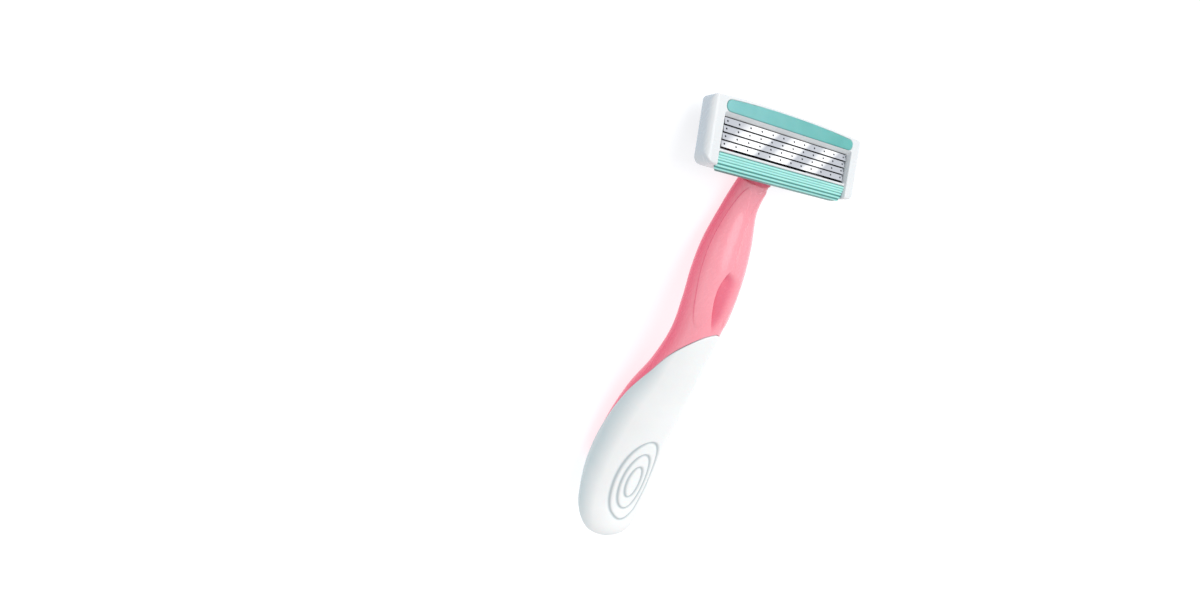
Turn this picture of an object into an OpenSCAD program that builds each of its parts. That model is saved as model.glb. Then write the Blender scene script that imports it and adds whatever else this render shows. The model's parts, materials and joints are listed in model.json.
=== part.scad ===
// Cartridge razor: a pivoting four-blade head on a curved two-part handle, lying on its back.
//
// Three frames are used.
//   lying frame:     Z up from the table, Y from the butt to the head, X along the head
//   cartridge frame: X along the blades, Y back into the head, Z towards the lubricating strip;
//                    Y = 0 is the plane of the cutting edges, and X = 0 the plane of symmetry
//   neck frame:      origin on the pivot, Z along the neck towards the head, Y towards its back

/* [Head] */
// length of the head along the blades
head_w = 44.8; // [44:0.2:48]
// depth of the cover from front to back
cover_depth = 4.8; // [4.7:0.1:5.4]
// height of the middle of the cover above the middle of the blades
cover_top = 7.75; // [7.7:0.05:8.4]

/* [Blades] */
// distance from one blade to the next
blade_pitch = 1.54; // [1.5:0.02:1.6]
// length of each blade
blade_w = 36.6; // [30:0.2:36.8]
// how far each blade can sink into the head
blade_travel = 0.3; // [0.1:0.05:0.35]

/* [Pivot] */
// how far the head swings back
pivot_range = 40; // [20:1:42]
// travel of the plunger for each radian of swing
plunger_rate = 1.25; // [1:0.05:1.3]
// radius of the pivot journals
journal_r = 1.2; // [0.9:0.05:1.4]

/* [Handle] */
// thickness of the grip shell over the tang
grip_wall = 1.7; // [1.2:0.1:2]
// seam between the grip and the core
seam = 0.24; // [0.2:0.02:0.4]

/* [Lying down] */
// angle between the back of the head and the table
lie_tilt = 27.2; // [26.9:0.1:27.5]

/* [Part] */
// which node to build

/* [Hidden] */
$fn = 96;
slack = 0.05;                  // gap between pieces that are held together
run = 0.07;                    // radial gap of a journal in its bore

// blades: each is a slanted strip, its cutting edge on Y = 0 and facing the guard
blade_count = 4;
blade_depth = 1.42;            // from the cutting edge to the back edge
blade_slant = 12;              // from the plane of the cutting edges
blade_t = 0.1;
ground_w = 0.35;               // width of the ground edge
flange_t = 0.2;
leg_t = 0.24;
blade_back_y = blade_depth * sin(blade_slant);
blade_back_z = blade_depth * cos(blade_slant);
edge_z = [for (k = [0 : blade_count - 1]) blade_pitch * (k - blade_count / 2) + 0.08];
leg_z = [for (z = edge_z) z + 1.1];
leg_y = 2.9;                   // depth the legs reach at rest
leg_ear = 1.2;                 // how far a leg reaches past the end of its blade

// window that the blades sit in
window_w = blade_w + 0.6;
window_low = edge_z[0] - 0.45;
window_high = edge_z[blade_count - 1] + blade_back_z + 0.2;

// cover
cover_front = -0.7;
cover_back = cover_front + cover_depth;
cover_plate = 0.9;             // depth of the back of the front plate
cover_wall = 2.1;
cover_low = -7;
top_sag = 0.75;                // drop of the top edge towards the ends
top_r = (pow(head_w / 2 - 3, 2) + top_sag * top_sag) / (2 * top_sag);

// base inside the cover
base_w = head_w - 2 * cover_wall - 2 * slack;
base_high = 5.6;
base_low = -5.6;
base_floor = 4.2;              // depth of the pocket for the blades
base_back = 5.2;
base_step = 3.8;               // the base is narrower further back than this
pocket_w = window_w + 0.7;
pocket_low = window_low - 0.15;
pocket_high = window_high + 0.35;

// pivot
pivot_y = 7.2;
pivot_z = -3.2;
lug_in = 7.6;                  // inner face of a lug
lug_t = 2.2;
lug_r = 2.2;
hub_r = 1.8;
cam_w = 3;
cam_h = 2.2;                   // from the pivot to the plunger at rest
plunger_r = 0.9;
plunger_bore_r = 1;
plunger_len = 5.2;
stub_r = 2.9;
stub_end = -14;
collar_top = -1.75;
collar_top_r = 3.6;
coil_top = -(cam_h + slack + plunger_len + slack);
coil_bottom = stub_end + 0.85;
coil_turns = 7;
coil_r = 0.68;
wire_r = 0.11;

// handle: [y, z, half width, half thickness] of the section at each station, cartridge frame
STATIONS = [
    [8.856, -5.936, 3.9, 3.45],
    [12.6, -12.1, 4.35, 3.9],
    [15.1, -20.5, 6.25, 5.0],
    [16.9, -28.0, 6.85, 5.55],
    [18.85, -35.9, 6.7, 5.4],
    [22.1, -44.5, 6.4, 5.2],
    [27.4, -53.8, 7.2, 5.85],
    [34.0, -63.3, 8.8, 7.2],
    [40.7, -74.5, 9.55, 7.8],
    [45.5, -86.0, 9.9, 8.0],
    [47.7, -96.0, 9.2, 7.4],
    [46.8, -105.5, 9.0, 7.2]
];
tip = len(STATIONS) - 1;
round_from = tip - 1.1;        // station where the butt starts to close
section_power = 2.2;           // 2 is an ellipse, more is squarer
border_front = 4.64;           // station of the colour border at the front of the handle
border_back = 9.3;             // and at the back
border_skew = 19;              // how far round from the middle its front lies
tang_end = 10;
points = 60;                   // round each section

neck_tilt = atan2(STATIONS[0][0] - pivot_y, pivot_z - STATIONS[0][1]);
neck_top = -norm([STATIONS[0][0] - pivot_y, STATIONS[0][1] - pivot_z]);

function tanh(x) = (exp(2 * x) - 1) / (exp(2 * x) + 1);
function signed_pow(x, p) = sign(x) * pow(abs(x), p);
function lerp(a, b, t) = a + (b - a) * t;

// smooth curve through the stations, u counting stations from the neck
function station_at(i) = STATIONS[max(0, min(tip, i))];
function curve(p0, p1, p2, p3, t) =
    p1 + t / 2 * ((p2 - p0) + t * ((2 * p0 - 5 * p1 + 4 * p2 - p3) + t * (3 * p1 - p0 - 3 * p2 + p3)));
function section(u) =
    let (i = min(tip - 1, floor(u)))
    curve(station_at(i - 1), station_at(i), station_at(i + 1), station_at(i + 2), u - i);
function heading(u) =
    let (d = section(min(tip, u + 0.02)) - section(max(0, u - 0.02)))
    [d[0], d[1]] / norm([d[0], d[1]]);
function closing(u) =
    u < round_from ? 1 : sqrt(max(0.004, 1 - pow((u - round_from) / (tip - round_from), 2)));

// table plane seen from the cartridge frame
table_up = [0, -cos(lie_tilt), -sin(lie_tilt)];
function back_of(u) =
    let (s = section(u), h = heading(u))
    [0, s[0] - h[1] * s[3], s[1] + h[0] * s[3]];
butt_flat = 0.15;              // depth of the flat that the butt rests on
lie_height = -min([for (u = [6 : 0.1 : tip - 1]) back_of(u) * table_up]) - butt_flat;
function above_table(p) = p + max(0, -(p * table_up + lie_height)) * table_up;
lie_shift = 54.8;              // puts the middle of the razor over the origin

// point of the handle's skin at station u, f degrees round from the side, moved in by inset
function skin(u, f, inset = 0) =
    let (
        s = section(u),
        h = heading(u),
        k = closing(u),
        across = (s[2] - inset) * k * signed_pow(cos(f), 2 / section_power),
        out = (s[3] - inset) * k * signed_pow(sin(f), 2 / section_power)
    )
    above_table([across, s[0] - h[1] * out, s[1] + h[0] * out]);

// station of the colour border: low at the front, running down to a tongue at the back
function border(f) =
    let (a = abs(wrapped(f + 90) - border_skew * (1 + cos(f + 90)) / 2))
    lerp(border_front, border_back, 0.65 * (1 + tanh((a - 114) / 19)) / 2 + 0.35 * (1 - cos(a)) / 2);
function wrapped(a) = a - 360 * round(a / 360);

function angles() = [for (i = [0 : points - 1]) i * 360 / points];

module loft(rings) {
    n = len(rings[0]);
    last = len(rings) - 1;
    mid_a = sum(rings[0]) / n;
    mid_b = sum(rings[last]) / n;
    polyhedron(
        points = concat([for (r = rings) each r], [mid_a, mid_b]),
        faces = concat(
            [for (i = [0 : last - 1], j = [0 : n - 1]) each [
                [i * n + j, i * n + (j + 1) % n, (i + 1) * n + j],
                [i * n + (j + 1) % n, (i + 1) * n + (j + 1) % n, (i + 1) * n + j]]],
            [for (j = [0 : n - 1]) [(j + 1) % n, j, (last + 1) * n]],
            [for (j = [0 : n - 1]) [last * n + j, last * n + (j + 1) % n, (last + 1) * n + 1]]));
}

function sum(v, i = 0) = i == len(v) - 1 ? v[i] : v[i] + sum(v, i + 1);

// frames
module lie_down() {
    translate([0, lie_shift, lie_height])
        rotate([-90 - lie_tilt, 0, 0])
            children();
}

module at_pivot() {
    translate([0, pivot_y, pivot_z])
        rotate([neck_tilt, 0, 0])
            children();
}

// extrusions of a drawing along each axis of the cartridge frame
module along_x(length) {
    rotate([90, 0, 90])
        linear_extrude(length, center = true)
            children();
}

module along_y(from, to) {
    translate([0, to, 0])
        rotate([90, 0, 0])
            linear_extrude(to - from)
                children();
}

module along_z(from, to) {
    translate([0, 0, from])
        linear_extrude(to - from)
            children();
}

module rounded(w, low, high, r) {
    translate([-w / 2 + r, low])
        square([w - 2 * r, high - low]);
    translate([-w / 2, low + r])
        square([w, high - low - 2 * r]);
    for (x = [-1, 1], z = [low + r, high - r])
        translate([x * (w / 2 - r), z])
            circle(r);
}

// front view of the cover: straight sides, arched top
module cover_outline(inset = 0) {
    intersection() {
        rounded(head_w - 2 * inset, cover_low + inset, cover_top + 2 - inset, 2.6);
        translate([0, cover_top - top_r])
            circle(top_r - inset, $fn = 400);
        rounded(head_w - 2 * inset, cover_low + inset, cover_top - top_sag / 2 - inset + 0.6, 2.9);
    }
}

// lubricating strip: straight below, round at the ends, and an arch on top that runs into the ends
strip_w = 37.9;
strip_low = 4.02;
strip_high = 7.1;
strip_end_r = 1.2;
strip_end_x = strip_w / 2 - strip_end_r;
strip_drop = strip_high - strip_low - strip_end_r;
strip_top_r = (pow(strip_end_x, 2) + pow(strip_drop, 2) - pow(strip_end_r, 2)) / (2 * (strip_drop - strip_end_r));
strip_arch = atan2(strip_end_x, strip_top_r - strip_drop);

function arc(x, z, r, from, to, steps) =
    [for (i = [0 : steps]) let (a = lerp(from, to, i / steps)) [x + r * cos(a), z + r * sin(a)]];

module strip_outline(grow = 0) {
    r = strip_end_r + grow;
    polygon(concat(
        arc(strip_end_x, strip_low + strip_end_r, r, -90, 90 - strip_arch, 16),
        arc(0, strip_high - strip_top_r, strip_top_r + grow, 90 - strip_arch * 0.95, 90 + strip_arch * 0.95, 30),
        arc(-strip_end_x, strip_low + strip_end_r, r, 90 + strip_arch, 270, 16)));
}

module cartridge_cover() {
    color("white")
        lie_down()
            difference() {
                intersection() {
                    along_y(cover_front, cover_back)
                        cover_outline();
                    along_x(head_w + 2)
                        cover_side();
                    along_z(cover_low - 1, cover_top + 2)
                        cover_plan();
                }
                // room for the base
                along_y(cover_plate, cover_back + 1)
                    square_x(base_w + 2 * slack, base_low - slack, base_high + slack);
                // window, its top and ends sloping in
                along_y(cover_front - 1, cover_plate + 1)
                    square_x(window_w, window_low, window_high);
                front_recess();
                guard_seat();
                // seat of the lubricating strip
                along_y(cover_front - 1, -0.25)
                    strip_outline(slack);
            }
}

module square_x(w, low, high) {
    translate([-w / 2, low])
        square([w, high - low]);
}

module cover_side() {
    polygon([
        [cover_front + 0.25, cover_low],
        [cover_front, cover_low + 0.4],
        [cover_front, cover_top - 0.9],
        [cover_front + 0.3, cover_top - 0.25],
        [cover_front + 1, cover_top],
        [cover_back - 2.4, cover_top - 0.25],
        [cover_back - 1, cover_top - 0.95],
        [cover_back - 0.2, cover_top - 2.1],
        [cover_back, cover_top - 3],
        [cover_back, cover_low + 0.4],
        [cover_back - 0.4, cover_low]]);
}

module cover_plan() {
    intersection() {
        rounded(head_w, cover_front, cover_back + 4, 1.5);
        rounded(head_w, cover_front - 4, cover_back, 1.6);
    }
}

// what is taken off the front, its top and ends sloping in: the rim of the window down to the
// slope's depth, and the bar below it down to the bar's depth
slope_depth = 0.35;
slope_top = 0.76;
slope_end = 0.5;
bar_depth = -0.15;

module front_recess() {
    intersection() {
        along_x(window_w + 2 * slope_end)
            polygon([
                [cover_front - 0.01, cover_low - 1],
                [bar_depth, cover_low - 1],
                [bar_depth, window_low],
                [slope_depth, window_low],
                [slope_depth, window_high],
                [cover_front - 0.01, window_high + slope_top]]);
        along_z(cover_low - 1, window_high + slope_top)
            polygon([
                [-window_w / 2 - slope_end, cover_front - 0.01],
                [window_w / 2 + slope_end, cover_front - 0.01],
                [window_w / 2, slope_depth],
                [-window_w / 2, slope_depth]]);
        along_y(cover_front - 1, 1)
            rounded(window_w + 2 * slope_end, cover_low - 3, window_high + slope_top, 0.7);
    }
}

module lubricating_strip() {
    color("mediumturquoise")
        lie_down()
            along_y(-0.8, -0.25 - slack)
                strip_outline();
}

// guard bar: a soft ribbed sheet that leans back and rolls under the lower edge of the cover
guard_w = 37.5;
guard_face = -0.35;            // front of its upper edge
guard_top = -4.1;
guard_lean = 16;
guard_sheet = 2.5;             // length of the flat stretch
guard_t = 0.45;
guard_tail = 2.4;              // how far back it reaches
roll_r = 1.6;
roll_y = guard_face + roll_r * cos(guard_lean) + guard_sheet * sin(guard_lean);
roll_z = guard_top + roll_r * sin(guard_lean) - guard_sheet * cos(guard_lean);
rib_r = 0.24;
rib_pitch = 0.53;

module guard_bar() {
    color("mediumaquamarine")
        lie_down()
            intersection() {
                along_x(guard_w)
                    guard_profile();
                along_y(-2, 4)
                    rounded(guard_w, roll_z - roll_r - 0.2, 0, 0.6);
                // the ends taper towards the back
                along_z(-9, -3)
                    polygon([
                        [-guard_w / 2, -2],
                        [guard_w / 2, -2],
                        [guard_w / 2, 0.8],
                        [guard_w / 2 - 1.6, guard_tail],
                        [-guard_w / 2 + 1.6, guard_tail],
                        [-guard_w / 2, 0.8]]);
            }
}

module guard_profile() {
    intersection() {
        union() {
            difference() {
                behind_guard(0);
                behind_guard(guard_t);
            }
            along_guard()
                for (i = [0 : 2])
                    translate([0.05, -0.42 - i * rib_pitch])
                        circle(rib_r);
            // three larger ribs round the roll
            for (a = [1, 27, 54])
                translate([roll_y - (roll_r - 0.12) * cos(a), roll_z - (roll_r - 0.12) * sin(a)])
                    circle(0.3);
        }
        translate([-2, roll_z - 3])
            square([guard_tail + 2, guard_top - roll_z + 3]);
    }
}

module along_guard() {
    translate([guard_face, guard_top])
        rotate(guard_lean)
            children();
}

// everything further back than this distance from the front of the guard
module behind_guard(distance) {
    along_guard()
        translate([distance, -guard_sheet])
            square([6, guard_sheet + 3]);
    translate([roll_y, roll_z]) {
        circle(roll_r - distance);
        translate([0, distance - roll_r])
            square([6, 2 * (roll_r - distance)]);
    }
}

// what is taken off the cover for the guard
module guard_seat() {
    along_x(guard_w + 2 * slack)
        difference() {
            translate([cover_front - 1, cover_low - 1])
                square([cover_back, guard_top + slack - cover_low + 1]);
            behind_guard(guard_t + slack);
        }
}

// slanted strip with a ground edge, drawn with the cutting edge at the origin
module blade(k) {
    color("silver")
        lie_down()
            along_x(blade_w)
                translate([0, edge_z[k]])
                    rotate(90 - blade_slant)
                        polygon([
                            [0, 0],
                            [blade_depth, 0],
                            [blade_depth, -blade_t],
                            [ground_w, -blade_t]]);
}

// bent support: a flange under the blade and a leg running back into the head
module blade_support(k) {
    color("gray")
        lie_down() {
            along_x(blade_w - 0.4)
                support_profile(k);
            along_x(blade_w + 2 * leg_ear)
                translate([cover_plate + slack, leg_z[k] - leg_t / 2])
                    square([leg_y - cover_plate - slack, leg_t]);
        }
}

module support_profile(k) {
    translate([0, edge_z[k]])
        rotate(90 - blade_slant)
            translate([0.5, -blade_t - flange_t - 0.01])
                square([blade_depth - 0.5 - 0.05, flange_t]);
    translate([blade_back_y + 0.14, leg_z[k] - leg_t / 2])
        square([leg_y - blade_back_y - 0.14, leg_t]);
}

// two springy arms pushing a support forwards from the floor of the pocket
finger_root = 8.7;
finger_tip = 15;

module spring_fingers(k) {
    color("lightgray")
        lie_down()
            for (side = [-1, 1])
                along_z(leg_z[k] - 0.4, leg_z[k] + 0.4)
                    polygon([
                        [side * (finger_root - 1), base_floor - 0.02],
                        [side * (finger_root - 1), base_floor - 0.5],
                        [side * (finger_tip - 1), leg_y + 0.03],
                        [side * finger_tip, leg_y + 0.03],
                        [side * finger_tip, leg_y + 0.33],
                        [side * (finger_tip - 1), leg_y + 0.36],
                        [side * (finger_root + 1), base_floor - 0.02]]);
}

module base_block() {
    along_y(cover_plate + slack, base_step)
        rounded(base_w, base_low, base_high, 0.8);
    along_y(base_step - 0.1, base_back)
        rounded(base_w - 2.4, base_low, base_high - 1.2, 0.8);
}

module cartridge_base() {
    color("whitesmoke")
        lie_down()
            difference() {
                union() {
                    difference() {
                        base_block();
                        along_y(0, base_floor)
                            square_x(pocket_w, pocket_low, pocket_high);
                        // grooves that the ends of the supports slide in
                        for (z = leg_z)
                            along_y(0, leg_y + blade_travel + 0.15)
                                square_x(blade_w + 2 * leg_ear + 0.4, z - leg_t / 2 - run, z + leg_t / 2 + run);
                        // rinsing openings
                        for (side = [-1, 1], x = [[2.4, 6.8], [10.6, 17.4]], z = leg_z)
                            along_y(0, 10)
                                translate([side > 0 ? x[0] : -x[1], z - 1.05])
                                    square([x[1] - x[0], 0.7]);
                    }
                    for (side = [-1, 1])
                        translate([side * (lug_in + lug_t / 2), 0, 0])
                            along_x(lug_t)
                                lug_profile();
                    along_x(cam_w)
                        cam_profile();
                }
                translate([0, pivot_y, pivot_z])
                    rotate([0, 90, 0])
                        for (side = [-1, 1])
                            translate([0, 0, side * (lug_in + lug_t / 2)])
                                cylinder(r = journal_r + run, h = lug_t + 1, center = true);
            }
}

module lug_profile() {
    translate([pivot_y, pivot_z])
        circle(lug_r);
    translate([base_back - 0.5, pivot_z - lug_r])
        square([pivot_y - base_back + 0.5, 2 * lug_r]);
}

// cam whose face moves the flat plunger by the same amount for each degree of swing
module cam_profile() {
    translate([pivot_y, pivot_z])
        rotate(neck_tilt)
            polygon(concat(
                [for (a = [-6 : 3 : pivot_range + 5])
                    let (h = cam_h + plunger_rate * a * PI / 180)
                    [h * sin(a) + plunger_rate * cos(a), -h * cos(a) + plunger_rate * sin(a)]],
                [[2.6, -0.3], [-0.4, 2.4], [-1.2, 2.9], [-3.2, -0.4], [-0.6, -cam_h + 0.15]]));
}

module pivot_bracket() {
    color("lightpink")
        difference() {
            union() {
                lie_down()
                    at_pivot()
                        bracket_body();
                bracket_heel();
            }
            lie_down()
                at_pivot() {
                    // room for the cam, which swings out to the back
                    rotate([0, 90, 0]) {
                        cylinder(r = 2.75, h = cam_w + 0.6, center = true);
                        intersection() {
                            cylinder(r = 3.45, h = cam_w + 0.6, center = true);
                            translate([-5, -0.4, -5])
                                cube(10);
                        }
                    }
                    translate([0, plunger_rate, stub_end + 0.8])
                        cylinder(r = plunger_bore_r, h = 20);
                }
        }
}

// crossbar with its journals, arms down to a collar, and the stub that fills the handle's socket
module bracket_body() {
    intersection() {
        along_x(2 * lug_in - 0.3)
            bracket_side();
        along_y(-5, 5)
            bracket_front();
    }
    rotate([0, 90, 0])
        cylinder(r = journal_r, h = 2 * (lug_in + lug_t) + 0.1, center = true);
    translate([0, 0, stub_end])
        cylinder(r = stub_r, h = neck_top - stub_end + 0.5);
    // collar that carries the line of the neck up to the head
    intersection() {
        translate([0, 0, neck_top + slack])
            cylinder(r1 = STATIONS[0][2] - 0.05, r2 = collar_top_r, h = collar_top - neck_top - slack);
        along_z(neck_top, 0)
            rounded(2 * STATIONS[0][2], 0.1 - STATIONS[0][3], STATIONS[0][3] - 0.1, 3.2);
    }
}

module bracket_side() {
    circle(hub_r);
    translate([-1.6, neck_top + 0.3])
        square([3.2, -neck_top - 0.3]);
}

module bracket_front() {
    polygon([
        [-lug_in, 2],
        [-lug_in, -1.5],
        [-4.1, -2.8],
        [-3.9, neck_top + 0.2],
        [3.9, neck_top + 0.2],
        [4.1, -2.8],
        [lug_in, -1.5],
        [lug_in, 2]]);
}

// flat foot under the collar, resting on the table
heel_w = 11;
heel_t = 1.9;

module bracket_heel() {
    translate([-heel_w / 2, lie_shift - 8.9, 0])
        cube([heel_w, 2.4, heel_t]);
}

module plunger() {
    color("lightgray")
        lie_down()
            at_pivot()
                translate([0, plunger_rate, -cam_h - slack - plunger_len])
                    cylinder(r = plunger_r, h = plunger_len);
}

function coil_ring(t, sides) =
    let (
        a = 360 * coil_turns * t,
        low = coil_bottom + wire_r + 0.02,
        z = lerp(low, coil_top - wire_r - 0.02, t)
    )
    [for (j = [0 : sides - 1])
        let (b = 360 * j / sides, r = coil_r + wire_r * cos(b))
        [r * cos(a), r * sin(a), z + wire_r * sin(b)]];

module plunger_spring() {
    steps = coil_turns * 14;
    color("silver")
        lie_down()
            at_pivot()
                translate([0, plunger_rate, 0])
                    loft([for (i = [0 : steps]) coil_ring(i / steps, 8)]);
}

function socket_ring(z, r) =
    [for (f = angles()) on_neck([r * cos(f), r * sin(f), z])];
function on_neck(p) =
    [p[0],
     pivot_y + p[1] * cos(neck_tilt) - p[2] * sin(neck_tilt),
     pivot_z + p[1] * sin(neck_tilt) + p[2] * cos(neck_tilt)];

module handle_core() {
    half = seam / 20;
    color("lightcoral")
        lie_down()
            loft(concat(
                [socket_ring(stub_end - 0.2, stub_r + slack), socket_ring(neck_top, stub_r + slack)],
                [for (i = [0 : 30])
                    [for (f = angles()) skin(lerp(0, border(f) - half, i / 30), f)]],
                [for (i = [0 : 13])
                    [for (f = angles()) skin(lerp(border(f) - half, tang_end, i / 13), f, grip_wall)]]));
}

module butt_grip() {
    half = seam / 20;
    cup = grip_wall - 0.25;
    color("white")
        lie_down()
            loft(concat(
                [for (i = [0 : 12])
                    [for (f = angles()) skin(lerp(tang_end + 0.1, border(f) + half, i / 12), f, cup)]],
                [for (i = [0 : 20])
                    [for (f = angles()) skin(lerp(border(f) + half, round_from, i / 20), f)]],
                [for (i = [1 : 9])
                    [for (f = angles()) skin(lerp(round_from, tip, sin(i * 10)), f)]]));
}

handle_core();
butt_grip();
pivot_bracket();
plunger();
plunger_spring();
cartridge_base();
cartridge_cover();
lubricating_strip();
guard_bar();
blade(0);  // blade_1
blade(1);  // blade_2
blade(2);  // blade_3
blade(3);  // blade_4
blade_support(0);  // blade_support_1
blade_support(1);  // blade_support_2
blade_support(2);  // blade_support_3
blade_support(3);  // blade_support_4
spring_fingers(0);  // spring_fingers_1
spring_fingers(1);  // spring_fingers_2
spring_fingers(2);  // spring_fingers_3
spring_fingers(3);  // spring_fingers_4
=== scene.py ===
import json
from math import cos, pi, radians, sin

import bpy
import numpy as np
from mathutils import Euler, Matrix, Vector


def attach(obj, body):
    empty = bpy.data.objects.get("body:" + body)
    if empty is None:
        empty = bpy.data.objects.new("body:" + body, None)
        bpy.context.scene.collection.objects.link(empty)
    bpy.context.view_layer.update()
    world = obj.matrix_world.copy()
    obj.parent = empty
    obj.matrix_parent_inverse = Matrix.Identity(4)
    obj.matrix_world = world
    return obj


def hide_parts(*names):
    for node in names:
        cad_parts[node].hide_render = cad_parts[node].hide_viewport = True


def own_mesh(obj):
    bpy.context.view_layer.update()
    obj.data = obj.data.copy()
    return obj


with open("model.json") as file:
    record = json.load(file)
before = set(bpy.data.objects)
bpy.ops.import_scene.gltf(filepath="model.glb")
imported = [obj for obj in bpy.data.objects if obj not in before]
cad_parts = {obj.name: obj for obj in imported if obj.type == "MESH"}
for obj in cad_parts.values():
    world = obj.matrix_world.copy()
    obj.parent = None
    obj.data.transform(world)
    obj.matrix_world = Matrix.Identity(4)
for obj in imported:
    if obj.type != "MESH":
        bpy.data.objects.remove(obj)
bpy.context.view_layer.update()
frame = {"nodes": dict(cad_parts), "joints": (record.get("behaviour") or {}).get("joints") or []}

MM = 0.001


def joint(name):
    return next(j for j in frame["joints"] if j["name"] == name)


# Cartridge frame, in millimetres: X along the blades, Y back into the head, Z towards the strip.
LIE_TILT = radians(27.2)
PIVOT = np.array([0.0, 7.2, -3.2])
PIVOT_ROW = np.array(joint("head_pivot")["pos_m"])
TO_ROW = np.array([
    [1, 0, 0],
    [0, -sin(LIE_TILT), cos(LIE_TILT)],
    [0, -cos(LIE_TILT), -sin(LIE_TILT)],
])


def to_row(points):
    """Points of the cartridge frame in millimetres, as points of the row frame in metres."""
    return (np.asarray(points, float) - PIVOT) @ TO_ROW.T * MM + PIVOT_ROW


def to_head(points):
    """The reverse of to_row."""
    return (np.asarray(points, float) - PIVOT_ROW) / MM @ TO_ROW + PIVOT


# ---------------------------------------------------------------- materials

def node_tree(name):
    material = bpy.data.materials.new(name)
    material.use_nodes = True
    tree = material.node_tree
    return material, tree, tree.nodes["Principled BSDF"]


def add(tree, kind, **inputs):
    node = tree.nodes.new(kind)
    for key, value in inputs.items():
        node.inputs[key.replace("_", " ")].default_value = value
    return node


def place(tree):
    """Object coordinates, so that the texture moves with the piece."""
    return tree.nodes.new("ShaderNodeTexCoord").outputs["Object"]


def noise(tree, coords, scale, detail=3.0, stretch=None):
    if stretch:
        mapping = tree.nodes.new("ShaderNodeMapping")
        mapping.inputs["Scale"].default_value = stretch
        tree.links.new(coords, mapping.inputs["Vector"])
        coords = mapping.outputs["Vector"]
    texture = add(tree, "ShaderNodeTexNoise", Scale=scale, Detail=detail)
    tree.links.new(coords, texture.inputs["Vector"])
    return texture.outputs["Fac"]


def ramp(tree, factor, stops):
    """Colours blended along factor: stops are (position, colour) pairs."""
    node = tree.nodes.new("ShaderNodeValToRGB")
    elements = node.color_ramp.elements
    while len(elements) < len(stops):
        elements.new(0.5)
    for element, (position, colour) in zip(elements, stops):
        element.position = position
        element.color = (*colour, 1)
    tree.links.new(factor, node.inputs["Fac"])
    return node.outputs["Color"]


def spread(tree, factor, low, high, start=0.3, end=0.7):
    """factor stretched from start..end to low..high."""
    node = tree.nodes.new("ShaderNodeMapRange")
    for key, value in (("From Min", start), ("From Max", end), ("To Min", low), ("To Max", high)):
        node.inputs[key].default_value = value
    tree.links.new(factor, node.inputs["Value"])
    return node.outputs["Result"]


def mix(tree, factor, a, b):
    node = tree.nodes.new("ShaderNodeMix")
    node.data_type = "RGBA"
    for value, socket in ((factor, node.inputs[0]), (a, node.inputs[6]), (b, node.inputs[7])):
        if isinstance(value, bpy.types.NodeSocket):
            tree.links.new(value, socket)
        elif isinstance(value, tuple):
            socket.default_value = (*value, 1)
        else:
            socket.default_value = value
    return node.outputs[2]


def bump(tree, shader, heights):
    """Bumps on top of each other: heights are (height, depth in metres, strength)."""
    normal = None
    for height, depth, strength in heights:
        node = add(tree, "ShaderNodeBump", Strength=strength, Distance=depth)
        tree.links.new(height, node.inputs["Height"])
        if normal:
            tree.links.new(normal, node.inputs["Normal"])
        normal = node.outputs["Normal"]
    tree.links.new(normal, shader.inputs["Normal"])


def up_side(tree):
    """How far the surface faces up, from -1 to 1. The razor lies on its back, so up is its front."""
    split = tree.nodes.new("ShaderNodeSeparateXYZ")
    coords = tree.nodes.new("ShaderNodeTexCoord")
    tree.links.new(coords.outputs["Normal"], split.inputs["Vector"])
    return split.outputs["Z"]


def recess_shade_mask(tree):
    # The mesh's per-point mask of where shade is painted into recesses.
    attribute = tree.nodes.new("ShaderNodeAttribute")
    attribute.attribute_name = "recess_shade"
    return attribute.outputs["Fac"]


def moulded_plastic(name, light, dark, rough, down_shade=None, recess_shade=None, soft=0.0, coat=0.0, grain=0.15):
    """Injection-moulded plastic: faint mottling, orange peel, fine grain and uneven gloss.

    The shade colour is painted shade, mixed in where the surface faces down, towards the table; the
    recess colour is painted shade in the engraved lines and other recesses that the mesh marks.
    """
    material, tree, shader = node_tree(name)
    coords = place(tree)
    colour = ramp(tree, noise(tree, coords, 90, 2), [(0.3, dark), (0.7, light)])
    if down_shade:
        # Painted shade: where the surface faces down, towards the table, the colour is darkened
        # towards the shade colour.
        edge = spread(tree, noise(tree, coords, 60, 2), -0.04, 0.04)
        facing = tree.nodes.new("ShaderNodeMath")
        tree.links.new(up_side(tree), facing.inputs[0])
        tree.links.new(edge, facing.inputs[1])
        down_shade_amount = spread(tree, facing.outputs[0], 1, 0, start=-0.1, end=0.66)
        colour = mix(tree, down_shade_amount, colour, down_shade)
    if recess_shade:
        # Painted shade in recesses, where the mesh's mask is set.
        colour = mix(tree, recess_shade_mask(tree), colour, recess_shade)
    tree.links.new(colour, shader.inputs["Base Color"])
    wear = noise(tree, coords, 700, 4, (1, 1, 3))
    tree.links.new(spread(tree, wear, rough - 0.05, rough + 0.07), shader.inputs["Roughness"])
    shader.inputs["IOR"].default_value = 1.46
    shader.inputs["Coat Weight"].default_value = coat
    shader.inputs["Coat Roughness"].default_value = 0.12
    shader.inputs["Subsurface Weight"].default_value = soft
    shader.inputs["Subsurface Radius"].default_value = (0.9, 0.5, 0.4)
    shader.inputs["Subsurface Scale"].default_value = 0.0012
    bump(tree, shader, [
        (noise(tree, coords, 220, 1), 0.00001, 0.2),
        (noise(tree, coords, 6000, 2), 0.000005, grain),
    ])
    return material


def pink_plastic():
    # Its shade colour is painted shade on the side that faces down; its recess colour is painted shade
    # in the thumb dish on the neck.
    return moulded_plastic("pink_plastic", (0.98, 0.365, 0.43), (0.96, 0.335, 0.40), 0.25,
                           down_shade=(0.84, 0.10, 0.19), recess_shade=(0.82, 0.17, 0.25), soft=0.1, coat=0.2)


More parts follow.
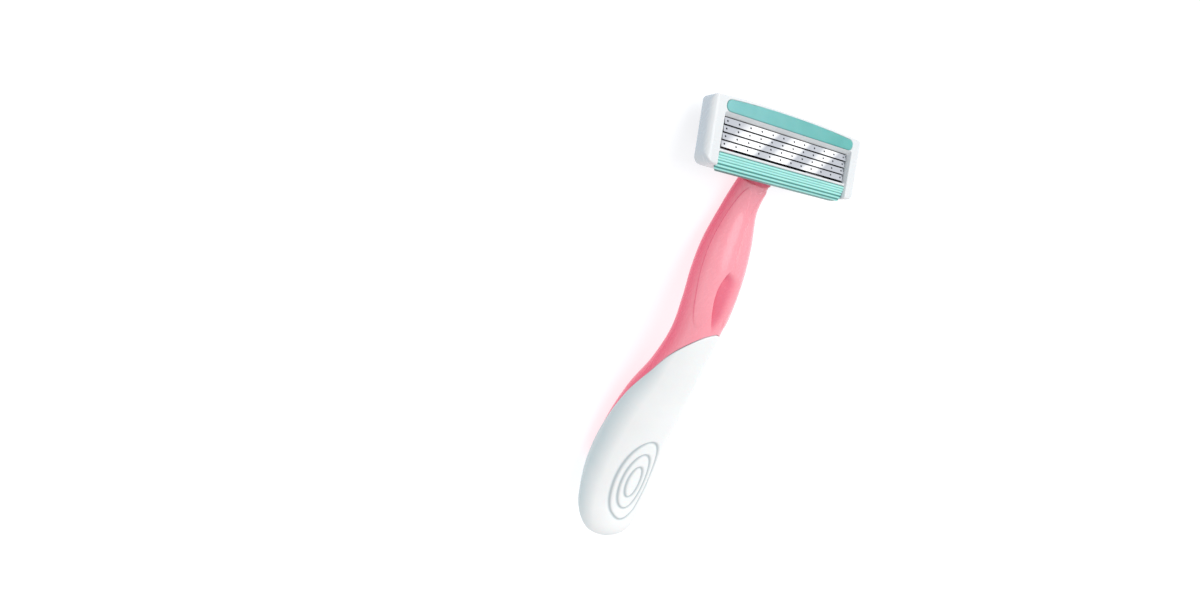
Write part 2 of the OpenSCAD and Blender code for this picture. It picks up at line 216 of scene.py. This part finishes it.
def shaded_pink_plastic():
    """The handle's pink darkened for the bracket: painted shade, as the bracket sits in the shadow
    under the head.
    """
    return moulded_plastic("shaded_pink_plastic", (0.86, 0.17, 0.245), (0.82, 0.145, 0.22), 0.28,
                           down_shade=(0.72, 0.07, 0.14), soft=0.1)


def grip_rubber():
    # Its shade colour is painted shade on the flank that faces down; its recess colour is painted
    # shade in the thumb pad's engraved lines.
    return moulded_plastic("white_grip", (0.93, 0.94, 0.935), (0.90, 0.91, 0.905), 0.40,
                           down_shade=(0.54, 0.63, 0.65), recess_shade=(0.50, 0.56, 0.58), soft=0.1, grain=0.3)


def frame_plastic():
    # The shade colour here is painted shade on the head's side faces and other surfaces that turn
    # down.
    return moulded_plastic("white_frame", (0.745, 0.765, 0.775), (0.715, 0.74, 0.755), 0.24,
                           down_shade=(0.50, 0.57, 0.63), soft=0.05, coat=0.2)


def dark_plastic():
    # Near-black so that the gaps between and behind the blades stay dark: painted shade for the shadow
    # deep in the channels.
    return moulded_plastic("dark_plastic", (0.035, 0.04, 0.048), (0.022, 0.026, 0.032), 0.34,
                           grain=0.25)


def grey_plastic():
    return moulded_plastic("grey_plastic", (0.55, 0.58, 0.61), (0.48, 0.51, 0.54), 0.35)


STRIP_FADE = 18 * MM    # the strip changes colour over this much to either side of the middle


def waxy_strip():
    """Lubricating strip: matt and waxy, with fine lines, deeper in colour towards one end."""
    material, tree, shader = node_tree("waxy_strip")
    coords = place(tree)
    mottle = noise(tree, coords, 160, 4)
    pale = ramp(tree, mottle, [(0.3, (0.17, 0.48, 0.475)), (0.72, (0.215, 0.535, 0.53))])
    deep = ramp(tree, mottle, [(0.3, (0.085, 0.39, 0.36)), (0.72, (0.12, 0.45, 0.42))])
    split = tree.nodes.new("ShaderNodeSeparateXYZ")
    tree.links.new(coords, split.inputs["Vector"])
    fade = spread(tree, split.outputs["X"], 0, 1, start=-STRIP_FADE, end=STRIP_FADE)
    colour = mix(tree, fade, pale, deep)
    tree.links.new(colour, shader.inputs["Base Color"])
    lines = noise(tree, coords, 900, 2, (0.05, 1, 1))
    tree.links.new(spread(tree, lines, 0.5, 0.68), shader.inputs["Roughness"])
    shader.inputs["Subsurface Weight"].default_value = 0.15
    shader.inputs["Subsurface Scale"].default_value = 0.0008
    bump(tree, shader, [
        (lines, 0.00003, 0.3),
        (noise(tree, coords, 2500, 3), 0.00002, 0.35),
    ])
    return material


def guard_elastomer():
    """Soft ribbed guard: satin, with painted shade between the ribs."""
    material, tree, shader = node_tree("guard_elastomer")
    coords = place(tree)
    cloud = noise(tree, coords, 220, 3)
    mottle = ramp(tree, cloud, [(0.3, (0.36, 0.80, 0.74)), (0.7, (0.42, 0.85, 0.79))])
    # Painted shade in the valleys between the ribs.
    colour = mix(tree, recess_shade_mask(tree), mottle, (0.05, 0.26, 0.235))
    tree.links.new(colour, shader.inputs["Base Color"])
    grain = noise(tree, coords, 1800, 3)
    tree.links.new(spread(tree, grain, 0.3, 0.42), shader.inputs["Roughness"])
    shader.inputs["Sheen Weight"].default_value = 0.1
    shader.inputs["Subsurface Weight"].default_value = 0.1
    shader.inputs["Subsurface Scale"].default_value = 0.0006
    bump(tree, shader, [(grain, 0.00002, 0.3)])
    return material


def rolled_steel(name, light, dark, rough, aniso=0.5):
    """Rolled strip: fine lines along X and uneven polish."""
    material, tree, shader = node_tree(name)
    coords = place(tree)
    lines = noise(tree, coords, 2500, 3, (0.02, 1, 1))
    cloud = noise(tree, coords, 120, 2)
    colour = ramp(tree, cloud, [(0.35, dark), (0.65, light)])
    tree.links.new(colour, shader.inputs["Base Color"])
    shader.inputs["Metallic"].default_value = 1.0
    shader.inputs["Anisotropic"].default_value = aniso
    tree.links.new(spread(tree, lines, rough - 0.05, rough + 0.07), shader.inputs["Roughness"])
    bump(tree, shader, [(lines, 0.000004, 0.4)])
    return material


def support_steel():
    return rolled_steel("support_steel", (0.10, 0.105, 0.115), (0.06, 0.065, 0.07), 0.35)


def spring_steel():
    return rolled_steel("spring_steel", (0.6, 0.61, 0.63), (0.5, 0.51, 0.53), 0.25, 0.2)


def blade_steel():
    """Polished strip, with reflections painted into its colour: soft greyish stripes, slanting from
    blade to blade.
    """
    material = rolled_steel("blade_steel", (0.95, 0.955, 0.96), (0.88, 0.89, 0.90), 0.16)
    tree = material.node_tree
    shader = tree.nodes["Principled BSDF"]
    polish = shader.inputs["Base Color"].links[0].from_socket
    lean = 1.08     # how far a band moves along X for each millimetre towards the strip
    reach = 22      # the bands lie between -reach and reach, in millimetres
    across = tree.nodes.new("ShaderNodeVectorMath")
    across.operation = "DOT_PRODUCT"
    tree.links.new(place(tree), across.inputs[0])
    head_z = TO_ROW[:, 2]
    across.inputs[1].default_value = Vector((1, 0, 0)) / MM - lean * Vector(head_z) / MM
    start = to_head([0, 0, 0])[2] * lean
    # (place along X, greyness)
    reflection_bands = [
        (-reach, 0.8), (-16, 0.75), (-12.8, 0), (-7, 0), (-5.6, 0.8), (-2.9, 0.7), (-1, 0),
        (2.6, 0), (4, 0.8), (7.4, 0.7), (9, 0), (11.6, 0), (13.2, 0.8), (reach, 0.75),
    ]
    along = spread(tree, across.outputs["Value"], 0, 1, start - reach, start + reach)
    reflection_mask = ramp(tree, along, [((q + reach) / (2 * reach), (v, v, v)) for q, v in reflection_bands])
    # Painted reflection: the stripes darken the steel's colour.
    tree.links.new(mix(tree, reflection_mask, polish, (0.33, 0.35, 0.40)), shader.inputs["Base Color"])
    return material


def weld_mark():
    """Laser weld: dark, heat-tinted metal."""
    material, tree, shader = node_tree("weld_mark")
    coords = place(tree)
    speck = noise(tree, coords, 3000, 4)
    colour = ramp(tree, speck, [(0.3, (0.012, 0.014, 0.02)), (0.75, (0.05, 0.055, 0.07))])
    tree.links.new(colour, shader.inputs["Base Color"])
    shader.inputs["Metallic"].default_value = 0.6
    tree.links.new(spread(tree, speck, 0.4, 0.65), shader.inputs["Roughness"])
    bump(tree, shader, [(speck, 0.00001, 0.5)])
    return material


def studio_floor():
    """Matt white, lit from below as well, which leaves hardly any shadow."""
    material, tree, shader = node_tree("studio_floor")
    coords = place(tree)
    cloud = noise(tree, coords, 6, 3)
    colour = ramp(tree, cloud, [(0.3, (0.36, 0.363, 0.367)), (0.7, (0.40, 0.402, 0.405))])
    tree.links.new(colour, shader.inputs["Base Color"])
    tree.links.new(spread(tree, noise(tree, coords, 40, 3), 0.7, 0.8), shader.inputs["Roughness"])
    shader.inputs["Emission Color"].default_value = (0.97, 0.98, 1.0, 1)
    shader.inputs["Emission Strength"].default_value = 0.76
    return material


# ---------------------------------------------------------------- meshes

def new_piece(name, vertices, faces, material):
    """A smooth-shaded mesh from row-frame points in metres."""
    mesh = bpy.data.meshes.new(name)
    mesh.from_pydata([tuple(v) for v in vertices], [], faces)
    mesh.validate()
    mesh.update()
    mesh.polygons.foreach_set("use_smooth", [True] * len(mesh.polygons))
    piece = bpy.data.objects.new(name, mesh)
    bpy.context.scene.collection.objects.link(piece)
    mesh.materials.append(material)
    return piece


def loft_faces(rings, n):
    """Quads between rings of n points, with a fan at each end to the two points after them."""
    faces = []
    for i in range(rings - 1):
        for j in range(n):
            k = (j + 1) % n
            faces.append((i * n + j, i * n + k, (i + 1) * n + k, (i + 1) * n + j))
    first, last = rings * n, rings * n + 1
    for j in range(n):
        k = (j + 1) % n
        faces.append((k, j, first))
        faces.append(((rings - 1) * n + j, (rings - 1) * n + k, last))
    return faces


def loft(name, rings, material, recess_shade=None):
    """A closed skin through rings of points, all with the same number of points."""
    rings = np.asarray(rings)
    count, n = rings.shape[:2]
    points = np.vstack([rings.reshape(-1, 3), rings[0].mean(0), rings[-1].mean(0)])
    piece = new_piece(name, points, loft_faces(count, n), material)
    if recess_shade is not None:
        # The per-point mask for the shade painted into recesses.
        mark(piece, np.append(np.asarray(recess_shade).ravel(), [0, 0]))
    return piece


def mark(piece, values):
    """Stores, per point and from 0 to 1, where the material paints shade into a recess: how deep the
    point lies in an engraved line, dish or rib valley.
    """
    attribute = piece.data.attributes.new("recess_shade", "FLOAT", "POINT")
    attribute.data.foreach_set("value", np.asarray(values, np.float32))


# ---------------------------------------------------------------- handle

# [y, z, half width, half thickness] of the section at each station, as in the CAD model
STATIONS = np.array([
    [8.856, -5.936, 3.9, 3.45],
    [12.6, -12.1, 4.35, 3.9],
    [15.1, -20.5, 6.25, 5.0],
    [16.9, -28.0, 6.85, 5.55],
    [18.85, -35.9, 6.7, 5.4],
    [22.1, -44.5, 6.4, 5.2],
    [27.4, -53.8, 7.2, 5.85],
    [34.0, -63.3, 8.8, 7.2],
    [40.7, -74.5, 9.55, 7.8],
    [45.5, -86.0, 9.9, 8.0],
    [47.7, -96.0, 9.2, 7.4],
    [46.8, -105.5, 9.0, 7.2],
])
TIP = len(STATIONS) - 1
ROUND_FROM = TIP - 1.1
SECTION_POWER = 2.2
BORDER_FRONT = 4.64     # stations of the colour border at the front and at the back
BORDER_BACK = 9.3
BORDER_SKEW = 19        # how far round from the middle its front lies, in degrees
TANG_END = 10.0         # station where the core ends inside the grip
CUP_END = TANG_END + 0.1
GRIP_WALL = 1.7
CUP_PLAY = 0.25         # how far the grip's inside lies off the tang
SEAM = 0.005            # half the seam, in stations
SOCKET_R = 2.95         # radius of the bracket's socket in the neck
STUB_END = -14.2        # and where it ends, in the neck frame
NECK_TILT = np.arctan2(STATIONS[0][0] - PIVOT[1], PIVOT[2] - STATIONS[0][1])
NECK_TOP = -np.hypot(STATIONS[0][0] - PIVOT[1], PIVOT[2] - STATIONS[0][1])
FRONT = -90

# rings of each skin, and points in a ring
CORE_RINGS, CORE_SIDES = 330, 300
GRIP_RINGS, GRIP_SIDES = 430, 360
TIP_RINGS = 90
TANG_RINGS = 30
CUP_RINGS = 24


def section(u):
    """Centre and half sizes at stations u: Catmull-Rom through the stations."""
    u = np.clip(u, 0, TIP)
    i = np.minimum(np.floor(u).astype(int), TIP - 1)
    t = (u - i)[..., None]
    p0, p1, p2, p3 = (STATIONS[np.clip(i + k, 0, TIP)] for k in (-1, 0, 1, 2))
    bend = 2 * p0 - 5 * p1 + 4 * p2 - p3
    twist = 3 * p1 - p0 - 3 * p2 + p3
    return p1 + t / 2 * ((p2 - p0) + t * (bend + t * twist))


def signed_power(x, p):
    return np.sign(x) * np.abs(x) ** p


def skin(u, f, inset=0.0):
    """Points of the handle's skin at stations u and angles f in degrees."""
    u, f = np.broadcast_arrays(np.asarray(u, float), np.asarray(f, float))
    s = section(u)
    heading = section(np.minimum(TIP, u + 0.02))[..., :2] - section(np.maximum(0, u - 0.02))[..., :2]
    heading /= np.linalg.norm(heading, axis=-1, keepdims=True)
    past = np.maximum(0, u - ROUND_FROM) / (TIP - ROUND_FROM)
    closing = np.sqrt(np.maximum(0.0004, 1 - past ** 2))
    angle = np.radians(f)
    across = (s[..., 2] - inset) * closing * signed_power(np.cos(angle), 2 / SECTION_POWER)
    out = (s[..., 3] - inset) * closing * signed_power(np.sin(angle), 2 / SECTION_POWER)
    return np.stack([across, s[..., 0] - heading[..., 1] * out, s[..., 1] + heading[..., 0] * out], -1)


def border(f):
    """Station of the colour border: low at the front, running down to a tongue at the back."""
    turn = f - FRONT
    turn = turn - 360 * np.round(turn / 360)
    a = np.abs(turn - BORDER_SKEW * (1 + np.cos(np.radians(turn))) / 2)
    share = 0.65 * (1 + np.tanh((a - 114) / 19)) / 2 + 0.35 * (1 - np.cos(np.radians(a))) / 2
    return BORDER_FRONT + (BORDER_BACK - BORDER_FRONT) * share


def smooth_step(x):
    x = np.clip(x, 0, 1)
    return x * x * (3 - 2 * x)


def length_to(u):
    """Length of the centre line from the neck to stations u, in millimetres."""
    fine = np.linspace(0, TIP, 1200)
    line = section(fine)[:, :2]
    run = np.append(0, np.cumsum(np.hypot(*np.diff(line, axis=0).T)))
    return np.interp(u, fine, run)


# thumb pad on the front of the butt
PAD_CENTRE = 8.87       # station
PAD_RINGS = [(15.3, 5.7), (10.3, 3.85), (5.6, 2.1)]     # half length, half width
PAD_GROOVE_W = 0.42
PAD_GROOVE_DEPTH = 0.34

DISH_DEPTH = 1.3
NOTCH_DEPTH = 0.25
PANEL_HEIGHT = 0.2
SEAM_ROUND = 0.3        # radius of the edges along the colour border
NECK_ROUND = 0.45       # and of the edge at the top of the neck


def in_front(f):
    return np.sin(np.radians(f)) < 0


def pad_groove(u, x, f):
    """How deep the point lies in a groove of the thumb pad, from 0 to 1."""
    along = length_to(u) - length_to(PAD_CENTRE)
    depth = np.zeros_like(x)
    for half_l, half_w in PAD_RINGS:
        e = np.hypot(along / half_l, x / half_w)
        slope = np.hypot(along / half_l ** 2, x / half_w ** 2) / np.maximum(e, 1e-6)
        distance = (e - 1) / np.maximum(slope, 1e-6)
        depth = np.maximum(depth, np.exp(-(distance / PAD_GROOVE_W) ** 2))
    return depth * in_front(f)


def thumb_dish(u, x, f):
    """How deep the point lies in the facet on the front of the neck, from 0 to 1.

    It drops at a crease and rises across to the far side.
    """
    start, end = 2.45, 4.75
    t = np.clip((u - start) / (end - start), 0, 1)
    swell = np.sin(pi * t ** 0.8) * smooth_step(t / 0.35)
    crease = 0.6 - 3.4 * np.sin(pi * t ** 0.9)
    across = np.clip((x - crease) / (1 + 6 * swell), 0, 1)
    drop = smooth_step((x - crease) / 0.5) * (1 - across) ** 1.2
    return smooth_step(1.3 * swell) * drop * in_front(f)


def neck_notch(u, x, f):
    """How deep the point lies in the notch at the top of the neck, from 0 to 1."""
    half_width, length = 1.7, 1.9
    from_middle = np.hypot(x / half_width, length_to(u) / length)
    return smooth_step((1 - from_middle) / 0.25) * in_front(f)


def flank_panel(u, f):
    """How far the skin drops outside the long oval panel on each flank."""
    station, half_length = 2.35, 2.12
    turn, half_width = 38, 36       # degrees round from the front
    from_front = np.degrees(np.arccos(np.clip(-np.sin(np.radians(f)), -1, 1)))
    e = np.hypot((u - station) / half_length, (from_front - turn) / half_width)
    return PANEL_HEIGHT * smooth_step((e - 0.97) / 0.07)


def edge_round(distance, radius):
    """How far a rounded edge drops at that distance from it."""
    inside = np.clip(distance, 0, radius)
    return radius - np.sqrt(radius ** 2 - (radius - inside) ** 2)


def dented(u, f, dent):
    """Skin points pushed in along the surface's normal."""
    point = skin(u, f)
    du = skin(np.minimum(u + 0.004, TIP - 0.002), f) - skin(u - 0.004, f)
    df = skin(u, f + 0.4) - skin(u, f - 0.4)
    normal = np.cross(du, df)
    normal /= np.maximum(np.linalg.norm(normal, axis=-1, keepdims=True), 1e-9)
    return point - dent[..., None] * normal


def border_distance(u, f):
    """Distance over the skin from the colour border, in millimetres."""
    along = (length_to(u + 0.01) - length_to(u - 0.01)) / 0.02
    around = np.linalg.norm(skin(u, f + 0.5) - skin(u, f - 0.5), axis=-1)
    slope = border(f + 0.5) - border(f - 0.5)
    return np.abs(u - border(f)) / np.hypot(1 / along, slope / np.maximum(around, 1e-3))


def on_table(points):
    """Row-frame points with nothing below the table."""
    points = np.array(points)
    points[..., 2] = np.maximum(points[..., 2], 0)
    return points


def from_neck(points):
    """Points of the neck frame, whose Z runs along the neck from the pivot, in the cartridge frame."""
    turn = np.array([
        [1, 0, 0],
        [0, cos(NECK_TILT), -sin(NECK_TILT)],
        [0, sin(NECK_TILT), cos(NECK_TILT)],
    ])
    return np.asarray(points) @ turn.T + PIVOT


def socket_ring(z, radius, angles):
    """A circle round the neck's axis, z from the pivot."""
    a = np.radians(angles)
    return from_neck(np.stack([radius * np.cos(a), radius * np.sin(a), np.full_like(a, z)], -1))


def around(n):
    """n angles in degrees, evenly spaced round a circle."""
    return np.arange(n) * 360 / n


def handle_core(material):
    f = around(CORE_SIDES)
    share = np.linspace(0, 1, CORE_RINGS)[:, None]
    u = share * (border(f) - SEAM)
    grid_f = np.broadcast_to(f, u.shape)
    x = skin(u, grid_f)[..., 0]
    dish = thumb_dish(u, x, grid_f)
    dent = (
        np.maximum(DISH_DEPTH * dish, flank_panel(u, grid_f))
        + NOTCH_DEPTH * neck_notch(u, x, grid_f)
        + edge_round(border_distance(u, grid_f), SEAM_ROUND)
        + edge_round(length_to(u), NECK_ROUND)
    )
    outer = dented(u, grid_f, dent)
    tang_share = np.linspace(0, 1, TANG_RINGS)[:, None]
    tang_u = (border(f) - SEAM) + tang_share * (TANG_END - border(f) + SEAM)
    tang = skin(tang_u, np.broadcast_to(f, tang_u.shape), GRIP_WALL)
    socket = [socket_ring(STUB_END, SOCKET_R, f), socket_ring(NECK_TOP, SOCKET_R, f)]
    rings = [*socket, *outer, *tang]
    # Painted shade in the thumb dish: the pink darkens where the dish lies deep.
    dish_shade = np.vstack([np.zeros((2, len(f))), smooth_step(1.8 * dish), np.zeros((TANG_RINGS, len(f)))])
    piece = loft("handle_core_skin", on_table(to_row(rings)), material, dish_shade)
    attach(piece, "handle")
    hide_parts("handle_core")


def butt_grip(material):
    f = around(GRIP_SIDES)
    share = np.linspace(0, 1, GRIP_RINGS)[:, None]
    top = border(f) + SEAM
    body = top + share * (ROUND_FROM - top)
    quarter = np.radians(np.linspace(0, 90, TIP_RINGS + 1)[1:, None])
    end = ROUND_FROM + (TIP - ROUND_FROM) * np.sin(quarter) * np.ones_like(f)
    u = np.vstack([body, end])
    grid_f = np.broadcast_to(f, u.shape)
    x = skin(u, grid_f)[..., 0]
    recess_shade = pad_groove(u, x, grid_f)
    edge = edge_round(border_distance(u, grid_f), SEAM_ROUND)
    outer = dented(u, grid_f, PAD_GROOVE_DEPTH * recess_shade + edge)
    cup_u = CUP_END + np.linspace(0, 1, CUP_RINGS)[:, None] * (top - CUP_END)
    cup = skin(cup_u, np.broadcast_to(f, cup_u.shape), GRIP_WALL - CUP_PLAY)
    # The same depth is the mask for the shade painted into the pad's engraved lines.
    recess_shade = np.vstack([np.zeros(cup_u.shape), recess_shade])
    piece = loft("butt_grip_skin", on_table(to_row([*cup, *outer])), material, recess_shade)
    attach(piece, "handle")
    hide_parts("butt_grip")


# ---------------------------------------------------------------- head

def softened(node, name, body, material, voxel, rounds):
    """A copy of a CAD solid with its edges rounded: remeshed, then smoothed.

    Gives the piece and its points in the cartridge frame.
    """
    source = frame["nodes"][node]
    mesh = source.data.copy()
    mesh.name = name
    points = np.array([v.co for v in mesh.vertices])
    mesh.vertices.foreach_set("co", to_head(points).ravel())
    piece = bpy.data.objects.new(name, mesh)
    bpy.context.scene.collection.objects.link(piece)
    weld = piece.modifiers.new("weld", "WELD")
    weld.merge_threshold = 0.0005
    remesh = piece.modifiers.new("remesh", "REMESH")
    remesh.mode = "VOXEL"
    remesh.voxel_size = voxel
    remesh.use_smooth_shade = True
    smooth = piece.modifiers.new("smooth", "SMOOTH")
    smooth.factor = 0.5
    smooth.iterations = rounds
    graph = bpy.context.evaluated_depsgraph_get()
    result = bpy.data.meshes.new_from_object(piece.evaluated_get(graph), depsgraph=graph)
    piece.modifiers.clear()
    piece.data = result
    result.name = name
    points = np.empty(len(result.vertices) * 3)
    result.vertices.foreach_get("co", points)
    points = points.reshape(-1, 3)
    result.vertices.foreach_set("co", to_row(points).ravel())
    result.update()
    result.materials.clear()
    result.materials.append(material)
    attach(piece, body)
    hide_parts(node)
    return piece, points


BLADE_COUNT = 4
BLADE_PITCH = 1.54
BLADE_SHIFT = 0.08      # of all cutting edges towards the strip
BLADE_SLANT = radians(12)

# welds along each blade, on the slanted face of the strip
WELD_PITCH = 3.18
WELD_COUNT = 12
WELD_UP = 0.72          # from the cutting edge
WELD_RINGS = [(0.23, -0.02), (0.22, 0.012), (0.15, 0.014), (0.11, 0.006)]     # radius, height
WELD_SIDES = 20


def weld_dots(k, material):
    """The row of weld marks along a blade, each a low dimpled disc set into the strip."""
    across = np.array([1, 0, 0])
    along = np.array([0, sin(BLADE_SLANT), cos(BLADE_SLANT)])
    out = np.array([0, -cos(BLADE_SLANT), sin(BLADE_SLANT)])
    edge = np.array([0, 0, BLADE_PITCH * (k - BLADE_COUNT / 2) + BLADE_SHIFT])
    vertices, faces = [], []
    for i in range(WELD_COUNT):
        middle = edge + along * WELD_UP + across * (i - (WELD_COUNT - 1) / 2) * WELD_PITCH
        base = len(vertices)
        for radius, height in WELD_RINGS:
            for a in np.radians(around(WELD_SIDES)):
                vertices.append(middle + radius * (cos(a) * across + sin(a) * along) + height * out)
        for r in range(len(WELD_RINGS) - 1):
            low = base + r * WELD_SIDES
            high = low + WELD_SIDES
            for j in range(WELD_SIDES):
                n = (j + 1) % WELD_SIDES
                faces.append((low + j, low + n, high + n, high + j))
        faces.append(tuple(high + j for j in range(WELD_SIDES)))
    piece = new_piece(f"blade_{k + 1}_welds", to_row(vertices), faces, material)
    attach(piece, f"blade_{k + 1}_unit")


def bevelled(node, material, width, segments=2):
    """A CAD piece as it is, with a material and, where width isn't 0, its edges broken."""
    piece = frame["nodes"][node]
    for slot in piece.material_slots:
        slot.material = material
    if width:
        bevel = piece.modifiers.new("bevel", "BEVEL")
        bevel.width = width * MM
        bevel.segments = segments
        bevel.limit_method = "ANGLE"
        bevel.angle_limit = radians(50)
        bevel.use_clamp_overlap = True


# section of the guard: a flat stretch leaning back, then a roll
GUARD_TOP = np.array([-0.35, -4.1])
GUARD_LEAN = radians(16)
GUARD_SHEET = 2.5
ROLL_R = 1.6
ROLL = GUARD_TOP + [
    ROLL_R * cos(GUARD_LEAN) + GUARD_SHEET * sin(GUARD_LEAN),
    ROLL_R * sin(GUARD_LEAN) - GUARD_SHEET * cos(GUARD_LEAN),
]

# its ribs: narrow ones on the flat stretch, wide ones round the roll
FIRST_RIB = 0.42
RIB_PITCH = 0.53
NARROW_CREST = 0.19     # how far they stand out
WIDE_CREST = 0.18
WIDE_TURNS = [1, 27, 54]


def rib_crests():
    """(y, z) of the tops of the ribs."""
    out = np.array([cos(GUARD_LEAN), sin(GUARD_LEAN)])
    down = np.array([sin(GUARD_LEAN), -cos(GUARD_LEAN)])
    narrow = [GUARD_TOP - NARROW_CREST * out + (FIRST_RIB + RIB_PITCH * i) * down for i in range(3)]
    turns = np.radians(WIDE_TURNS)
    wide = [ROLL - (ROLL_R + WIDE_CREST) * np.array([cos(a), sin(a)]) for a in turns]
    return np.array(narrow + wide)


def rib_valleys(points):
    """How deep each point of the guard lies between its ribs, from 0 to 1."""
    crest_reach, flank = 0.12, 0.22
    gaps = np.linalg.norm(points[:, None, 1:] - rib_crests()[None], axis=2)
    return smooth_step((gaps.min(1) - crest_reach) / flank)


def guard_bar(material):
    guard, points = softened("guard_bar", "guard_ribbed", "cartridge", material,
                             voxel=0.08, rounds=3)
    # The depth between the ribs is the mask for the painted shade there.
    mark(guard, rib_valleys(points))


# the coil behind the plunger, in the neck frame
COIL_Y = 1.25
COIL_LOW = -13.15
COIL_HIGH = -7.5
COIL_R = 0.68
WIRE_R = 0.11
COIL_TURNS = 7


def plunger_spring(material):
    """Round wire, with its last turn at each end closed up."""
    steps, sides = 560, 14
    t = np.linspace(0, 1, steps)
    rise = np.interp(t, [0, 0.13, 0.87, 1], [0.02, 0.07, 0.93, 0.98])
    b = np.radians(around(sides))
    a = 2 * pi * COIL_TURNS * t[:, None]
    r = COIL_R + WIRE_R * np.cos(b)
    low, high = COIL_LOW + WIRE_R, COIL_HIGH - WIRE_R
    z = low + (high - low) * rise[:, None] + WIRE_R * np.sin(b)
    rings = np.stack([r * np.cos(a), COIL_Y + r * np.sin(a), z], -1)
    piece = loft("spring_wire", to_row(from_neck(rings)), material)
    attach(piece, "handle")
    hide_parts("plunger_spring")
    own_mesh(piece)


def spring_fingers(k, material):
    """The two arms behind a blade; rigid here, though on the razor they flatten as the blade sinks."""
    node, name = f"spring_fingers_{k + 1}", f"finger_arms_{k + 1}"
    piece, _ = softened(node, name, "cartridge", material, voxel=0.07, rounds=2)
    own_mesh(piece)


# ---------------------------------------------------------------- studio

def studio():
    bpy.ops.mesh.primitive_plane_add(size=12)
    floor = bpy.context.object
    floor.name = "floor"
    floor.data.materials.append(studio_floor())

    world = bpy.data.worlds.new("studio")
    bpy.context.scene.world = world
    world.use_nodes = True
    world.node_tree.nodes["Background"].inputs["Color"].default_value = (0.975, 0.985, 1.0, 1)
    world.node_tree.nodes["Background"].inputs["Strength"].default_value = 0.66

    key = bpy.data.lights.new("key", "SUN")
    key.energy = 1.35
    key.angle = radians(45)
    aim(key, (0.1, 0.55, 0.85))

    # softbox behind the head, which the blades mirror
    panel = bpy.data.lights.new("panel", "AREA")
    panel.shape = "RECTANGLE"
    panel.size = 0.6
    panel.size_y = 0.4
    panel.energy = 0.5
    aim(panel, (0.68, 0.67, 0.32), 0.55)


def aim(light, towards, distance=1.0):
    """Puts a light in that direction from the middle of the razor, shining back at it."""
    direction = Vector(towards).normalized()
    lamp = bpy.data.objects.new(light.name, light)
    lamp.location = direction * distance
    lamp.rotation_euler = direction.to_track_quat("Z", "Y").to_euler()
    bpy.context.scene.collection.objects.link(lamp)


def camera():
    lens = bpy.data.cameras.new("camera")
    lens.lens = 20
    lens.sensor_width = 36
    lens.clip_start = 0.005
    lens.clip_end = 20
    view = bpy.data.objects.new("camera", lens)
    view.location = Vector((-0.1048, 0.0766, 0.1194))
    view.rotation_euler = Euler((radians(-36.86), radians(-22.03), radians(22.79)), "XYZ")
    bpy.context.scene.collection.objects.link(view)
    bpy.context.scene.camera = view


def build():
    handle_core(pink_plastic())
    butt_grip(grip_rubber())
    softened("cartridge_cover", "cover_frame", "cartridge", frame_plastic(),
             voxel=0.11, rounds=9)
    softened("lubricating_strip", "strip_crescent", "cartridge", waxy_strip(),
             voxel=0.09, rounds=9)
    guard_bar(guard_elastomer())
    # The bracket's darker pink is painted shade.
    softened("pivot_bracket", "bracket_moulded", "handle", shaded_pink_plastic(),
             voxel=0.11, rounds=5)
    plunger_spring(spring_steel())

    # The base and spring fingers are near-black as painted shade in the gaps between the blades.
    dark = dark_plastic()
    steel = blade_steel()
    support = support_steel()
    weld = weld_mark()
    bevelled("cartridge_base", dark, 0.08)
    bevelled("plunger", grey_plastic(), 0.08)
    for k in range(BLADE_COUNT):
        bevelled(f"blade_{k + 1}", steel, 0)
        bevelled(f"blade_support_{k + 1}", support, 0.03, 1)
        spring_fingers(k, dark)
        weld_dots(k, weld)


build()
studio()
camera()
bpy.context.scene.view_settings.view_transform = "Standard"
